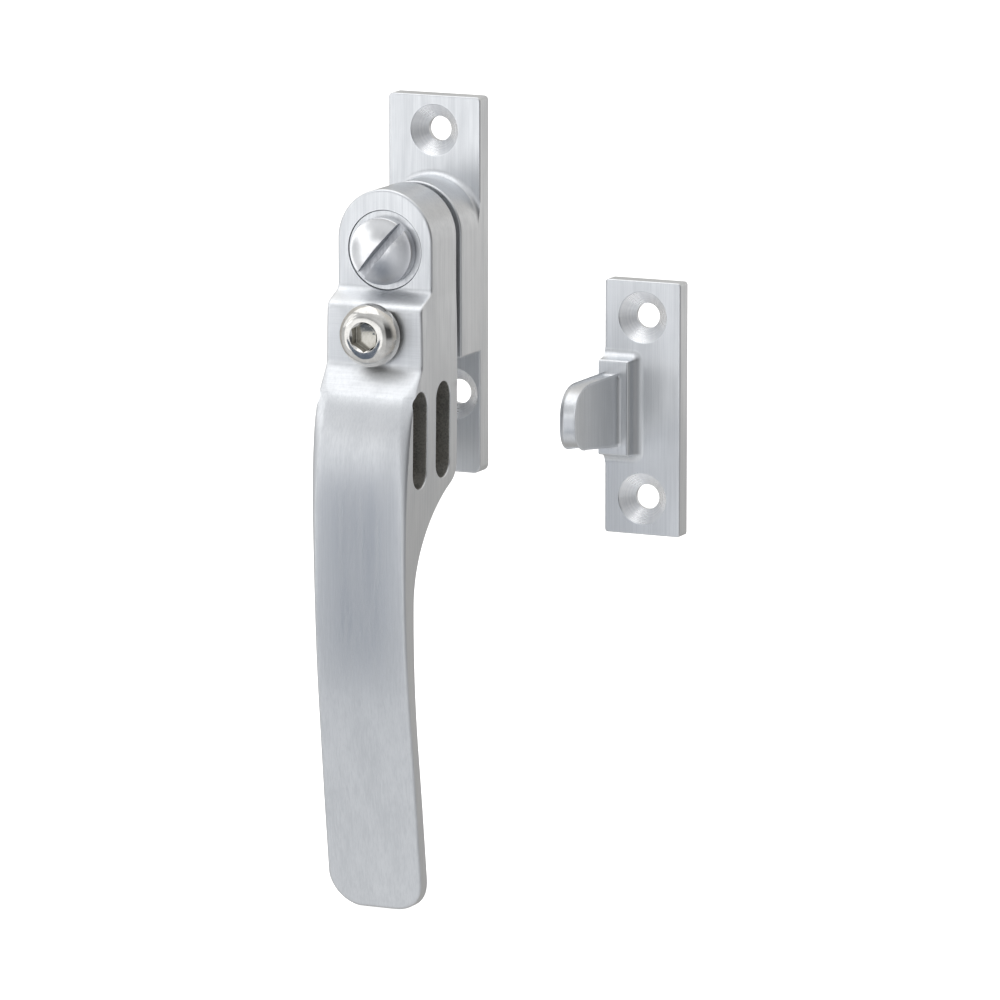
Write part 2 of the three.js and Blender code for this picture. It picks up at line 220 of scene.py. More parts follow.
def bezier(p0, p1, p2, p3, steps=24):
    """Points of a cubic curve, without the first one."""
    p0, p1, p2, p3 = (np.array(p, float) for p in (p0, p1, p2, p3))
    points = []
    for k in range(1, steps + 1):
        t = k / steps
        s = 1 - t
        points.append(tuple(s**3 * p0 + 3 * s * s * t * p1 + 3 * s * t * t * p2 + t**3 * p3))
    return points


def quadratic(p0, p1, p2, steps=24):
    """Points of a quadratic curve, without the first one."""
    p0, p1, p2 = (np.array(p, float) for p in (p0, p1, p2))
    shares = [k / steps for k in range(1, steps + 1)]
    return [tuple((1 - t) ** 2 * p0 + 2 * (1 - t) * t * p1 + t * t * p2) for t in shares]


def arc(centre, radius, start, end, steps):
    """Points of an arc; the angles are in degrees from the first axis towards the second."""
    angles = [math.radians(start + (end - start) * k / steps) for k in range(steps + 1)]
    return [(centre[0] + radius * math.cos(a), centre[1] + radius * math.sin(a)) for a in angles]


def soften(corners, steps=4):
    """An outline from corners (a, b, radius), each rounded by its radius."""
    path = []
    for i, (a, b, radius) in enumerate(corners):
        if radius == 0:
            path.append((a, b))
            continue
        here = Vector((a, b))
        to_before = (Vector(corners[i - 1][:2]) - here).normalized()
        to_after = (Vector(corners[(i + 1) % len(corners)][:2]) - here).normalized()
        half = to_before.angle(to_after) / 2
        centre = here + (to_before + to_after).normalized() * (radius / math.sin(half))
        reach = radius / math.tan(half)
        start = here + to_before * reach - centre
        end = here + to_after * reach - centre
        first = math.atan2(start.y, start.x)
        sweep = (math.atan2(end.y, end.x) - first + math.pi) % (2 * math.pi) - math.pi
        for k in range(steps + 1):
            angle = first + sweep * k / steps
            path.append((centre.x + radius * math.cos(angle), centre.y + radius * math.sin(angle)))
    return path


def offset(outline, distance):
    """A closed anticlockwise outline moved outwards by a distance."""
    moved = []
    for i, here in enumerate(outline):
        here = Vector(here)
        along = (here - Vector(outline[i - 1])).normalized()
        onward = (Vector(outline[(i + 1) % len(outline)]) - here).normalized()
        side = Vector((along.y, -along.x))
        next_side = Vector((onward.y, -onward.x))
        lean = (side + next_side) / (1 + side.dot(next_side))
        moved.append(tuple(here + lean * distance))
    return moved


def quarter_turn(steps):
    """Angles from 0 to 90 degrees."""
    return [math.radians(90 * k / steps) for k in range(steps + 1)]


def front_levels(front, edge, steps):
    """Levels (offset, depth) of a slab's rounded front edge."""
    return [(edge * (math.sin(a) - 1), front + edge * (1 - math.cos(a))) for a in quarter_turn(steps)]


def edge_levels(front, back, front_edge, back_edge):
    """Levels (offset, depth) of a slab whose front and back edges are rounded."""
    rear = [(back_edge * (math.cos(a) - 1), back - back_edge * (1 - math.sin(a))) for a in quarter_turn(2)]
    return front_levels(front, front_edge, 4) + rear


def fillet_levels(radius, surface, steps):
    """Levels (offset, depth) of a hollow fillet that runs out on a surface behind it."""
    return [(radius * (1 - math.cos(a)), surface - radius * (1 - math.sin(a))) for a in quarter_turn(steps)]


# ---- Bodies


def body(name, points, faces):
    """A mesh object from points in millimetres, with its faces turned outwards."""
    mesh = bpy.data.meshes.new(name)
    mesh.from_pydata([Vector(p) * MM for p in points], [], faces)
    shape = bmesh.new()
    shape.from_mesh(mesh)
    bmesh.ops.recalc_face_normals(shape, faces=shape.faces)
    shape.to_mesh(mesh)
    shape.free()
    thing = bpy.data.objects.new(name, mesh)
    bpy.context.scene.collection.objects.link(thing)
    return thing


def turned(name, profile, centre=(0, 0), closed=False, segments=TURNED_SEGMENTS, wave=0.0):
    """A body turned about an axis along Y. The profile is (radius, y); a ring's profile is closed."""
    points, faces, rings = [], [], []
    for radius, y in profile:
        count = 1 if radius < 1e-6 else segments
        rings.append(range(len(points), len(points) + count))
        for k in range(count):
            a = 2 * math.pi * k / segments
            lift = wave * math.cos(WASHER_WAVES * a)
            points.append((centre[0] + radius * math.cos(a), y + lift, centre[1] + radius * math.sin(a)))
    pairs = list(zip(rings, rings[1:] + rings[:1] if closed else rings[1:]))
    for first, second in pairs:
        for k in range(segments):
            n = (k + 1) % segments
            corners = [first[k % len(first)], first[n % len(first)]]
            corners += [second[n % len(second)], second[k % len(second)]]
            corners = list(dict.fromkeys(corners))
            if len(corners) > 2:
                faces.append(corners)
    return body(name, points, faces)


def stacked(name, rings):
    """A closed body through rings that have the same number of points, with flat ends."""
    count = len(rings[0])
    faces = []
    for level in range(len(rings) - 1):
        first, second = level * count, (level + 1) * count
        for k in range(count):
            n = (k + 1) % count
            faces.append((first + k, first + n, second + n, second + k))
    faces += [tuple(range(count)), tuple(range(second, second + count))]
    return body(name, [point for ring in rings for point in ring], faces)


def slab(name, outline, levels, place=lambda a, b, depth: (a, depth, b)):
    """A closed body that repeats an outline at levels (offset, depth)."""
    return stacked(name, [
        [place(a, b, depth) for a, b in offset(outline, distance)] for distance, depth in levels
    ])


def settle(thing):
    """Turns the object's modifiers into plain mesh."""
    view = bpy.context.evaluated_depsgraph_get()
    mesh = bpy.data.meshes.new_from_object(thing.evaluated_get(view))
    thing.modifiers.clear()
    thing.data = mesh


def combine(target, tool, operation):
    """Joins, cuts or keeps the shared part of two bodies; the tool is used up."""
    step = target.modifiers.new("combine", "BOOLEAN")
    step.operation = operation
    step.solver = "MANIFOLD"
    step.object = tool
    settle(target)
    bpy.data.objects.remove(tool)


def finish_piece(thing, material, node):
    """Gives a piece its shading and material, and ties it to the CAD node that it stands for."""
    mesh = thing.data
    mesh.materials.clear()
    mesh.materials.append(material)
    mesh.polygons.foreach_set("use_smooth", [True] * len(mesh.polygons))
    mesh.set_sharp_from_angle(angle=math.radians(SHARP_ANGLE))
    even = thing.modifiers.new("even_shading", "WEIGHTED_NORMAL")
    even.keep_sharp = True
    even.weight = 80
    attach(thing, frame["nodes"][node]["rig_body"])
    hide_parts(node)


def screw_hole(centre, thickness):
    """The cutter for a countersunk through hole in a plate whose back is at Y = 0."""
    radius, sink, edge = SCREW_HOLE["radius"], SCREW_HOLE["sink_radius"], SCREW_HOLE["edge_break"]
    front = -thickness
    profile = [(0, front - 1), (sink + edge, front - 1), (sink + edge, front), (sink, front + edge)]
    profile += [(radius, front + edge + sink - radius), (radius, -edge), (radius + edge, 0)]
    profile += [(radius + edge, 1), (0, 1)]
    return turned("screw_hole", profile, centre)


# ---- Back plate


def back_plate():
    low, high = node_box("back_plate")
    top, bottom = PLATE_TOP_CORNER, PLATE_BOTTOM_CORNER
    corners = [(low.x, low.z, bottom), (high.x, low.z, bottom)]
    corners += [(high.x, high.z, top), (low.x, high.z, top)]
    levels = edge_levels(-PLATE_THICKNESS, 0, PLATE_EDGE, PLATE_BACK_EDGE)
    plate = slab("back_plate_visual", soften(corners, 6), levels)
    combine(plate, boss(low, high), "UNION")
    combine(plate, boss_fillet(high.x), "UNION")
    for centre in PLATE_HOLES:
        combine(plate, screw_hole(centre, PLATE_THICKNESS), "DIFFERENCE")
    for centre, radius, depth in BOSS_HOLES:
        profile = [(0, low.y - 1), (radius + 0.3, low.y - 1), (radius + 0.3, low.y)]
        profile += [(radius, low.y + 0.3), (radius, low.y + depth), (0, low.y + depth + 1.2)]
        combine(plate, turned("boss_hole", profile, centre), "DIFFERENCE")
    return plate


def boss(low, high):
    """The raised part that carries the pivot: round top, sides flush with the plate's sides."""
    outline = arc((0, BOSS_ARC_CENTRE), high.x, 0, 180, 72)
    bottom, corner, root = BOSS_BOTTOM, BOSS_CORNER, -0.4
    outline += soften([(0, BOSS_ARC_CENTRE, 0), (low.x, bottom, corner), (0, bottom, 0)])[1:-1]
    outline += soften([(0, bottom, 0), (high.x, bottom, corner), (high.x, 0, 0)])[1:-1]
    return slab("boss", outline, front_levels(low.y, BOSS_EDGE, 3) + [(0, root)])


def boss_fillet(half_width):
    """The hollow fillet round the boss's top, no wider than the plate."""
    middle = (half_width - 0.1 + BOSS_FILLET, -PLATE_THICKNESS - BOSS_FILLET)
    profile = [(half_width - 1, middle[1])]
    profile += arc(middle, BOSS_FILLET, 180, 90, 10)
    profile.append((half_width - 1, -PLATE_THICKNESS / 2))
    ring = turned("boss_fillet", profile, (0, BOSS_ARC_CENTRE), closed=True, segments=144)
    across = [(-half_width, BOSS_ARC_CENTRE), (half_width, BOSS_ARC_CENTRE)]
    across += [(half_width, BOSS_ARC_CENTRE + 20), (-half_width, BOSS_ARC_CENTRE + 20)]
    combine(ring, slab("keep", across, [(0, -12), (0, 0)]), "INTERSECT")
    return ring


# ---- Handle


def handle_lines(low, high):
    """The handle's front and back seen from the side, each as (z, y) from the bottom up."""
    pad, lock_pad = PAD_FRONT, LOCK_PAD_FRONT
    grip, back = low.y, high.y
    front = [(pad, high.z), (pad, STEP_TOP)]
    front += bezier((pad, STEP_TOP), (pad, -8.4), (lock_pad, -7.8), (lock_pad, -9.9))
    front += [(lock_pad, -19.4)]
    front += quadratic((lock_pad, -19.4), (lock_pad, -19.9), (lock_pad - 0.45, -20.5), 8)
    front += [(-31.6, RAMP_FOOT)]
    front += bezier((-31.6, RAMP_FOOT), (-33.9, -27.6), (grip, -34), (grip, -46), 40)
    front += bezier((grip, -46), (grip, -60), (-34.6, -70), (-33.2, -80), 40)
    front += [(-28.4, low.z)]
    rear = [(back, high.z), (back, -38)]
    rear += quadratic((back, -38), (back, -40.6), (-16, -41.6))
    rear += bezier((-16, -41.6), (-22, -44.1), (-30.7, -51), (-30.7, -61), 40)
    rear += bezier((-30.7, -61), (-30.7, -70), (-30.4, -77), (-29.3, -86), 40)
    rear += [(-25.1, low.z)]
    return np.array(front)[::-1, ::-1], np.array(rear)[::-1, ::-1]


def front_reach(z):
    """Over what length the handle's front is smoothed at height z: more at the step and the ramp's foot."""
    heights = [-60, -28, -24.3, -20, -16, -11.5, -9.5, -7, -5]
    return float(np.interp(z, heights, [0.5, 0.4, 0.45, 0.6, 0.5, 0.6, 0.9, 0.6, 0.3]))


def eased(line, z, reach):
    """The line's y at height z, averaged over a short length so that its creases are slightly round."""
    spread = [z + reach * k / 4 for k in range(-4, 5)]
    weights = [1, 2, 3, 4, 5, 4, 3, 2, 1]
    return float(np.average(np.interp(spread, line[:, 0], line[:, 1]), weights=weights))


def handle_half_width():
    """The half width as (z, x) from the bottom up, down to the end's round corners."""
    shoulder, waist, end = HANDLE_SHOULDER, HANDLE_WAIST, HANDLE_END
    line = [(shoulder[0], HANDLE_ARC_CENTRE), shoulder]
    line += bezier(shoulder, HANDLE_SWELL, (waist[0], -48), waist, 40)
    line += bezier(waist, (waist[0], -80), (end[0], -90), end, 40)
    line += [(end[0], -200)]
    return np.array(line)[::-1, ::-1]


def rim_size(z):
    """The front rim's width, depth and squareness at height z: a wide facet at the crest."""
    heights = [-116, -60, -45, -32, -24.6, -23.2, -20.5, -18, -10, -7, 11]
    widths = [0.7, 0.6, 0.9, 1.7, 2.3, 1.5, 0.8, 0.7, 0.7, 0.5, 0.5]
    depths = [0.45, 0.45, 0.5, 0.6, 0.62, 0.55, 0.5, 0.5, 0.5, 0.42, 0.42]
    powers = [2, 2, 1.8, 1.4, 1.3, 1.5, 2, 2, 2, 2, 2]
    return tuple(float(np.interp(z, heights, values)) for values in (widths, depths, powers))


def handle_rows():
    """Heights of the rows across the handle, close together where its side view bends."""
    stops = [
        (HANDLE_ARC_CENTRE, 1.4), (-6.2, 0.18), (-10.1, 1.4), (-19, 0.15), (-20.9, 0.5),
        (-23.8, 0.08), (-24.8, 0.5), (-37, 0.4), (-50, 1.0), (-108.5, 0.6),
    ]
    rows = []
    bottom = node_box("handle")[0].z + HANDLE_CORNER
    for (start, step), (end, _) in zip(stops, stops[1:] + [(bottom, 0)]):
        count = max(1, round((start - end) / step))
        rows += [start + (end - start) * k / count for k in range(count)]
    return rows + [bottom]


class Sheet:
    """The handle's outline, filled; every point keeps its rim step and its share of the half width."""

    def __init__(self):
        self.keys, self.points, self.faces = {}, [], []

    def point(self, x, z, share, rim):
        key = (round(x, 4), round(z, 4))
        if key not in self.keys:
            self.keys[key] = len(self.points)
            self.points.append((x, z, share, rim))
        return self.keys[key]

    def grid(self, rows):
        for first, second in zip(rows, rows[1:]):
            for k in range(len(first) - 1):
                corners = dict.fromkeys((first[k], first[k + 1], second[k + 1], second[k]))
                if len(corners) > 2:
                    self.faces.append(tuple(corners))

    def border(self):
        """The edges that only one face uses."""
        used = {}
        for face in self.faces:
            for a, b in zip(face, face[1:] + face[:1]):
                used.setdefault(frozenset((a, b)), []).append((a, b))
        return [sides[0] for sides in used.values() if len(sides) == 1]


def rim_shares(power):
    """How far out (0 to 1) and how far back (0 to 1) each rim step is."""
    shares = []
    for angle in quarter_turn(RIM_STEPS):
        out = math.sin(angle) ** (2 / power)
        shares.append((out, 1 - abs(math.cos(angle)) ** (2 / power)))
    return shares


def columns(half_width, z, inner):
    """(distance from the middle, share of the half width, rim step) for half a row."""
    rim_width, _, power = rim_size(z)
    flat = half_width - rim_width
    found = [(flat * share, flat * share / half_width, 0) for share in inner]
    for k, (out, _) in enumerate(rim_shares(power)):
        if k:
            x = flat + rim_width * out
            found.append((x, x / half_width, k))
    return found


def handle_sheet():
    """The handle seen from the front: a fan at the round top, rows down the lever, fans at the corners."""
    sheet = Sheet()
    widths = handle_half_width()
    rows = handle_rows()
    end_half = HANDLE_END[0]
    corner_x = end_half - HANDLE_CORNER
    inner = [0, corner_x / (end_half - rim_size(rows[-1])[0]), 0.5, 0.7, 0.88, 1]

    top = columns(HANDLE_SHOULDER[0], HANDLE_ARC_CENTRE, inner)
    fan = []
    for k in range(TOP_FAN_STEPS + 1):
        angle = math.pi * k / TOP_FAN_STEPS
        fan.append([
            sheet.point(r * math.cos(angle), HANDLE_ARC_CENTRE + r * math.sin(angle), share, rim)
            for r, share, rim in top
        ])
    sheet.grid(fan)

    lines = []
    for z in rows:
        half = columns(float(np.interp(z, widths[:, 0], widths[:, 1])), z, inner)
        left = [sheet.point(-x, z, share, rim) for x, share, rim in reversed(half)]
        right = [sheet.point(x, z, share, rim) for x, share, rim in half]
        lines.append(left + right[1:])
    sheet.grid(lines)

    outer = half[1:]
    level = rows[-1]
    for side in (-1, 1):
        fan = []
        for k in range(CORNER_FAN_STEPS + 1):
            angle = math.radians(90 * k / CORNER_FAN_STEPS)
            across = math.cos(angle) ** CORNER_ROUNDNESS[side] if k < CORNER_FAN_STEPS else 0.0
            down = math.sin(angle) ** CORNER_ROUNDNESS[side]
            fan.append([
                sheet.point(
                    side * (corner_x + (x - corner_x) * across), level - (x - corner_x) * down, share, rim,
                )
                for x, share, rim in outer
            ])
        sheet.grid(fan)
    middle = []
    for x, share, rim in outer:
        z = level - (x - corner_x)
        middle.append([sheet.point(s * corner_x, z, share, rim) for s in (-1, 0, 1)])
    sheet.grid(middle)
    return sheet


def crown(z, share):
    """How far the lever's front falls away from its middle line towards its sides."""
    return float(np.interp(z, [-60, -34, -26, -22], [0.42, 0.36, 0.2, 0.0])) * share**2.6


def handle_body(low, high):
    """The handle without its holes."""
    sheet = handle_sheet()
    front_line, back_line = handle_lines(low, high)
    front, back = [], []
    for x, z, share, rim in sheet.points:
        rim_width, rim_depth, power = rim_size(z)
        out, fall = rim_shares(power)[rim]
        front.append((x, eased(front_line, z, front_reach(z)) + crown(z, share) + rim_depth * fall, z))
        near = min(1, rim_width * (1 - out) / 0.5) if rim else 1
        back.append((x, eased(back_line, z, 0.5) - 0.4 * (1 - math.sqrt(1 - (1 - near) ** 2)), z))
    count = len(front)
    faces = list(sheet.faces)
    faces += [tuple(count + k for k in reversed(face)) for face in sheet.faces]
    faces += [(b, a, count + a, count + b) for a, b in sheet.border()]
    return body("handle_visual", front + back, faces)


def vent_slot(y, z, widths):
    """The cutter for one slot, slightly flared where it meets the handle's sides."""
    straight = VENT_SLOT_LENGTH / 2 - VENT_SLOT_RADIUS
    outline = arc((y, z + straight), VENT_SLOT_RADIUS, 0, 180, 20)
    outline += arc((y, z - straight), VENT_SLOT_RADIUS, 180, 360, 20)
    levels = [(0.6, 2), (VENT_SLOT_FLARE, 0), (VENT_SLOT_FLARE * 0.3, -0.12), (0, -0.35)]
    steps = [(out, -1, beyond) for out, beyond in levels]
    steps += [(out, 1, beyond) for out, beyond in reversed(levels)]
    rings = []
    for out, side, beyond in steps:
        ring = offset(outline, out)
        halves = [float(np.interp(b, widths[:, 0], widths[:, 1])) for _, b in ring]
        rings.append([(side * (half + beyond), a, b) for half, (a, b) in zip(halves, ring)])
    return stacked("vent_slot", rings)


def handle():
    low, high = node_box("handle")
    thing = handle_body(low, high)
    widths = handle_half_width()
    for y, z in VENT_SLOTS:
        combine(thing, vent_slot(y, z, widths), "DIFFERENCE")
    combine(thing, pivot_bore(high.y), "DIFFERENCE")
    combine(thing, lock_bore(high.y), "DIFFERENCE")
    return thing


def pivot_bore(back):
    """The cutter for the bore of the bush, with the face washer's seat in front."""
    front, edge = PAD_FRONT, 0.06
    radius, seat = PIVOT_BORE["radius"], PIVOT_BORE["seat_radius"]
    floor = front + PIVOT_BORE["seat_depth"]
    profile = [(0, front - 2), (seat + edge, front - 2), (seat + edge, front), (seat, front + edge)]
    profile += [(seat, floor), (radius, floor), (radius, back - 0.2)]
    profile += [(radius + 0.2, back), (radius + 0.2, back + 1), (0, back + 1)]
    return turned("pivot_bore", profile)


def lock_bore(back):
    """The cutter for the lock screw's hole, with the clip's pocket behind."""
    front, beyond = LOCK_PAD_FRONT, -40
    radius, pocket = LOCK_BORE["radius"], LOCK_BORE["pocket_radius"]
    floor = back - LOCK_BORE["pocket_depth"]
    profile = [(0, beyond), (radius + 0.3, beyond), (radius + 0.3, front), (radius, front + 0.3)]
    profile += [(radius, floor), (pocket, floor), (pocket, back - 0.2)]
    profile += [(pocket + 0.2, back), (pocket + 0.2, back + 1), (0, back + 1)]
    return turned("lock_hole", profile, (0, LOCK_HEIGHT))


# ---- Screws and washers


def pivot_screw():
    """Slotted head with a low dome, plain shoulder, threaded end."""
    low, high = node_box("pivot_screw")
    radius, dome = high.x, 1.1
    head_back, shoulder_back = -23.8, -11.5
    rim = low.y + dome
    profile = [(0, low.y)]
    profile += [(radius * k / 12, low.y + dome * (k / 12) ** 2.2) for k in range(1, 12)]
    profile += [(radius - 0.12, rim - 0.14), (radius - 0.03, rim + 0.02), (radius, rim + 0.2)]
    profile += [(radius, head_back - 0.15), (radius - 0.15, head_back), (4, head_back)]
    profile += [(4, shoulder_back - 0.2), (3.8, shoulder_back), (3, shoulder_back)]
    profile += [(3, high.y - 0.6), (2.4, high.y), (0, high.y)]
    thing = turned("pivot_screw_visual", profile)
    combine(thing, screwdriver_slot(low.y, radius), "DIFFERENCE")
    return thing


def screwdriver_slot(front, radius):
    """The cutter for the head's slot, with a small break along its edges."""
    half, depth = PIVOT_SLOT["width"] / 2, PIVOT_SLOT["depth"]
    across = [(-half - 0.5, front - 0.5), (-half, front + 0.12), (-half, front + depth - 0.1)]
    across += [(-half + 0.1, front + depth), (half - 0.1, front + depth), (half, front + depth - 0.1)]
    across += [(half, front + 0.12), (half + 0.5, front - 0.5)]
    angle = math.radians(PIVOT_SLOT["angle"])
    along = Vector((math.cos(angle), 0, math.sin(angle)))
    aside = Vector((-math.sin(angle), 0, math.cos(angle)))
    return stacked("screwdriver_slot", [
        [along * reach + aside * a + Vector((0, y, 0)) for a, y in across]
        for reach in (-radius - 1, radius + 1)
    ])


def lock_screw():
    """Button head with a hexagon socket, thread, groove for the clip, plain tip."""
    low, high = node_box("lock_screw")
    radius, crown_radius, rim = high.x, 3.3, 0.5
    head_back = -29.3
    rise = head_back - rim - low.y
    profile = [(0, low.y), (crown_radius - 0.25, low.y)]
    for angle in quarter_turn(14)[1:]:
        out = crown_radius + (radius - crown_radius) * math.sin(angle)
        profile.append((out, low.y + 0.06 + (rise - 0.06) * (1 - math.cos(angle))))
    profile += [(radius, head_back - 0.2), (radius - 0.2, head_back), (3, head_back)]
    profile += [(3, -15), (2.2, -15), (2.2, -14), (2.7, -14)]
    profile += [(2.7, high.y - 0.4), (2.3, high.y), (0, high.y)]
    thing = turned("lock_screw_visual", profile, (0, LOCK_HEIGHT))
    combine(thing, hexagon_socket(low.y), "DIFFERENCE")
    return thing


def hexagon_socket(front):
    """The cutter for the socket: an upright hexagon, a drill point at its floor and a round mouth."""
    corner = SOCKET_CORNER
    angles = [math.radians(30 + 60 * k) for k in range(6)]
    socket = stacked("hexagon_socket", [
        [(size * math.cos(a), y, LOCK_HEIGHT + size * math.sin(a)) for a in angles]
        for y, size in ((front - 1, corner), (front + 2, corner), (front + 2.05, corner - 0.1))
    ])
    mouth = [(0, front - 1), (corner + 1.02, front - 1), (corner - 0.33, front + 0.35), (0, front + 0.35)]
    combine(socket, turned("socket_mouth", mouth, (0, LOCK_HEIGHT)), "UNION")
    drilled = [(0, front + 1.5), (2.1, front + 1.5), (2.1, front + 2.05), (0, front + 3.2)]
    combine(socket, turned("drill_point", drilled, (0, LOCK_HEIGHT)), "UNION")
    return socket


def washer(name, node, inner, edge, centre=(0, 0), wave=0.0, thickness=None):
    """A flat or wavy ring with rounded edges, in the place of a CAD ring."""
    low, high = node_box(node)
    middle = (low.y + high.y) / 2
    half = (thickness or high.y - low.y) / 2
    outer, front, back = high.x, middle - half, middle + half
    corners = [(inner, front, edge), (outer, front, edge), (outer, back, edge), (inner, back, edge)]
    return turned(name, soften(corners, 3), centre, closed=True, wave=wave)


# ---- Hook plate


def hook_plate():
    low, high = node_box("hook_plate")
    corners = [(low.x, low.z), (high.x, low.z), (high.x, high.z), (low.x, high.z)]
    outline = soften([(x, z, HOOK_CORNER) for x, z in corners], 5)
    levels = edge_levels(-HOOK_THICKNESS, 0, PLATE_EDGE, PLATE_BACK_EDGE)
    plate = slab("hook_plate_visual", outline, levels)
    combine(plate, hook_block(low.x), "UNION")
    combine(plate, hook_tongue(low.y), "UNION")
    combine(plate, tongue_fillet(), "UNION")
    for centre in hook_holes():
        combine(plate, screw_hole(centre, HOOK_THICKNESS), "DIFFERENCE")
    return plate


def hook_holes():
    """The middles of the hook plate's two screw holes."""
    low, high = node_box("hook_plate")
    x, z = (low.x + high.x) / 2, (low.z + high.z) / 2
    return [(x, z - HOOK_HOLE_SPACING / 2), (x, z + HOOK_HOLE_SPACING / 2)]


def hook_block(left):
    """The block under the tongue, with a hollow fillet where it meets the plate."""
    right, foot, front = left + BLOCK["width"], BLOCK["foot"], BLOCK["front"]
    far = left - 4
    corners = [(far, BLOCK["bottom"], 0), (right, BLOCK["bottom"], 0.35)]
    corners += [(right, BLOCK["top"], 0.35), (far, BLOCK["top"], 0)]
    levels = front_levels(front, BLOCK["edge"], 3) + fillet_levels(foot, -HOOK_THICKNESS, 6)
    levels.append((foot, -HOOK_THICKNESS / 2))
    block = slab("hook_block", soften(corners), levels)
    keep = [(left, -60), (left + 30, -60), (left + 30, 0), (left, 0)]
    combine(block, slab("keep", keep, [(0, front - 1), (0, 0)]), "INTERSECT")
    return block


def hook_tongue(end):
    """The blade that a vent slot goes over, drawn from the side as (y, z) and given width along X."""
    along, up = TONGUE_TOP_CORNER
    low_along, low_up = TONGUE_BOTTOM_CORNER
    top, root = TONGUE["top"], -HOOK_THICKNESS / 2
    tip_bottom, root_bottom = TONGUE["end_bottom"], TONGUE["root_bottom"]
    outline = [(root, root_bottom), (root, top), (end + along, top)]
    outline += quadratic((end + along, top), (end, top), (end, top - up), 14)
    outline += [(end, tip_bottom + low_up)]
    outline += quadratic((end, tip_bottom + low_up), (end, tip_bottom), (end + low_along, tip_bottom), 14)
    outline = outline[::-1]
    levels = front_levels(0, TONGUE_EDGE, 5)
    levels += [(out, TONGUE["thickness"] - depth) for out, depth in reversed(levels)]
    left = TONGUE["left"]
    return slab("hook_tongue", outline, levels, lambda a, b, depth: (left + depth, a, b))


def tongue_fillet():
    """The hollow fillet where the tongue meets the block."""
    left, right = TONGUE["left"] + 0.1, TONGUE["left"] + TONGUE["thickness"] - 0.1
    top, bottom = TONGUE["top"] - 0.1, TONGUE["root_bottom"] + 0.2
    corners = [(left, bottom), (right, bottom), (right, top), (left, top)]
    outline = soften([(x, z, TONGUE_EDGE) for x, z in corners])
    levels = fillet_levels(TONGUE_FILLET, BLOCK["front"], 5) + [(TONGUE_FILLET, BLOCK["front"] + 0.5)]
    return slab("tongue_fillet", outline, levels)


# ---- Materials


def set_inputs(node, values):
    for key, value in values.items():
        node.inputs[key].default_value = value


class Nodes:
    """Short calls that add nodes to a new material or world."""

    def __init__(self, name, kind=bpy.data.materials, shader="Principled BSDF", place="Object"):
        self.owner = kind.new(name)
        self.owner.use_nodes = True
        self.tree = self.owner.node_tree
        self.shader = self.tree.nodes[shader]
        self.place = self.add("ShaderNodeTexCoord").outputs[place]

    def add(self, kind, **settings):
        node = self.tree.nodes.new(kind)
        for key, value in settings.items():
            setattr(node, key, value)
        return node

    def link(self, source, target):
        self.tree.links.new(source, target)

    def noise(self, sizes, detail=3.0, roughness=0.6):
        """Noise whose grains have these sizes in millimetres along X, Y and Z."""
        mapping = self.add("ShaderNodeMapping")
        mapping.inputs["Scale"].default_value = [1 / (size * MM) for size in sizes]
        self.link(self.place, mapping.inputs["Vector"])
        noise = self.add("ShaderNodeTexNoise")
        set_inputs(noise, {"Scale": 1.0, "Detail": detail, "Roughness": roughness})
        self.link(mapping.outputs["Vector"], noise.inputs["Vector"])
        return noise.outputs["Fac"]

    def spread(self, value, low, high, to_low=0.0, to_high=1.0):
        """The value from low..high moved to to_low..to_high."""
        node = self.add("ShaderNodeMapRange", interpolation_type="SMOOTHSTEP")
        set_inputs(node, {"From Min": low, "From Max": high, "To Min": to_low, "To Max": to_high})
        self.link(value, node.inputs["Value"])
        return node.outputs["Result"]

    def math(self, operation, first, second):
        node = self.add("ShaderNodeMath", operation=operation)
        for socket, value in zip(node.inputs, (first, second)):
            if isinstance(value, (int, float)):
                socket.default_value = value
            else:
                self.link(value, socket)
        return node.outputs["Value"]

    def vector(self, operation, first, second=None):
        """The result of a vector operation on sockets and plain vectors."""
        node = self.add("ShaderNodeVectorMath", operation=operation)
        for socket, value in zip(node.inputs, (first, second)):
            if isinstance(value, tuple):
                socket.default_value = value
            elif value is not None:
                self.link(value, socket)
        return node.outputs["Value" if operation in ("DOT_PRODUCT", "LENGTH") else "Vector"]

    def blend(self, share, first, second):
        """A colour between two colours."""
        node = self.add("ShaderNodeMix", data_type="RGBA")
        self.link(share, node.inputs["Factor"])
        for socket, value in ((node.inputs[6], first), (node.inputs[7], second)):
            if isinstance(value, tuple):
                socket.default_value = (*value, 1)
            else:
                self.link(value, socket)
        return node.outputs[2]

    def edges(self, reach):
        """1 on edges that stand out or fold in within reach millimetres, 0 on flat faces."""
        bevel = self.add("ShaderNodeBevel", samples=4)
        bevel.inputs["Radius"].default_value = reach * MM
        normal = self.add("ShaderNodeNewGeometry").outputs["Normal"]
        agreement = self.vector("DOT_PRODUCT", bevel.outputs["Normal"], normal)
        return self.spread(agreement, 0.999, 0.93)

    def open_share(self, reach):
        """1 in the open, falling towards 0 where something is closer than reach millimetres; the materials
        paint shade with it.
        """
        node = self.add("ShaderNodeAmbientOcclusion", samples=8)
        node.inputs["Distance"].default_value = reach * MM
        return node.outputs["AO"]

    def bump(self, height, strength, distance):
        node = self.add("ShaderNodeBump")
        set_inputs(node, {"Strength": strength, "Distance": distance * MM})
        self.link(height, node.inputs["Height"])
        self.link(node.outputs["Normal"], self.shader.inputs["Normal"])

    def finish(self, colour, roughness, metallic=1.0):
        self.link(colour, self.shader.inputs["Base Color"])
        self.link(roughness, self.shader.inputs["Roughness"])
        self.shader.inputs["Metallic"].default_value = metallic
        return self.owner


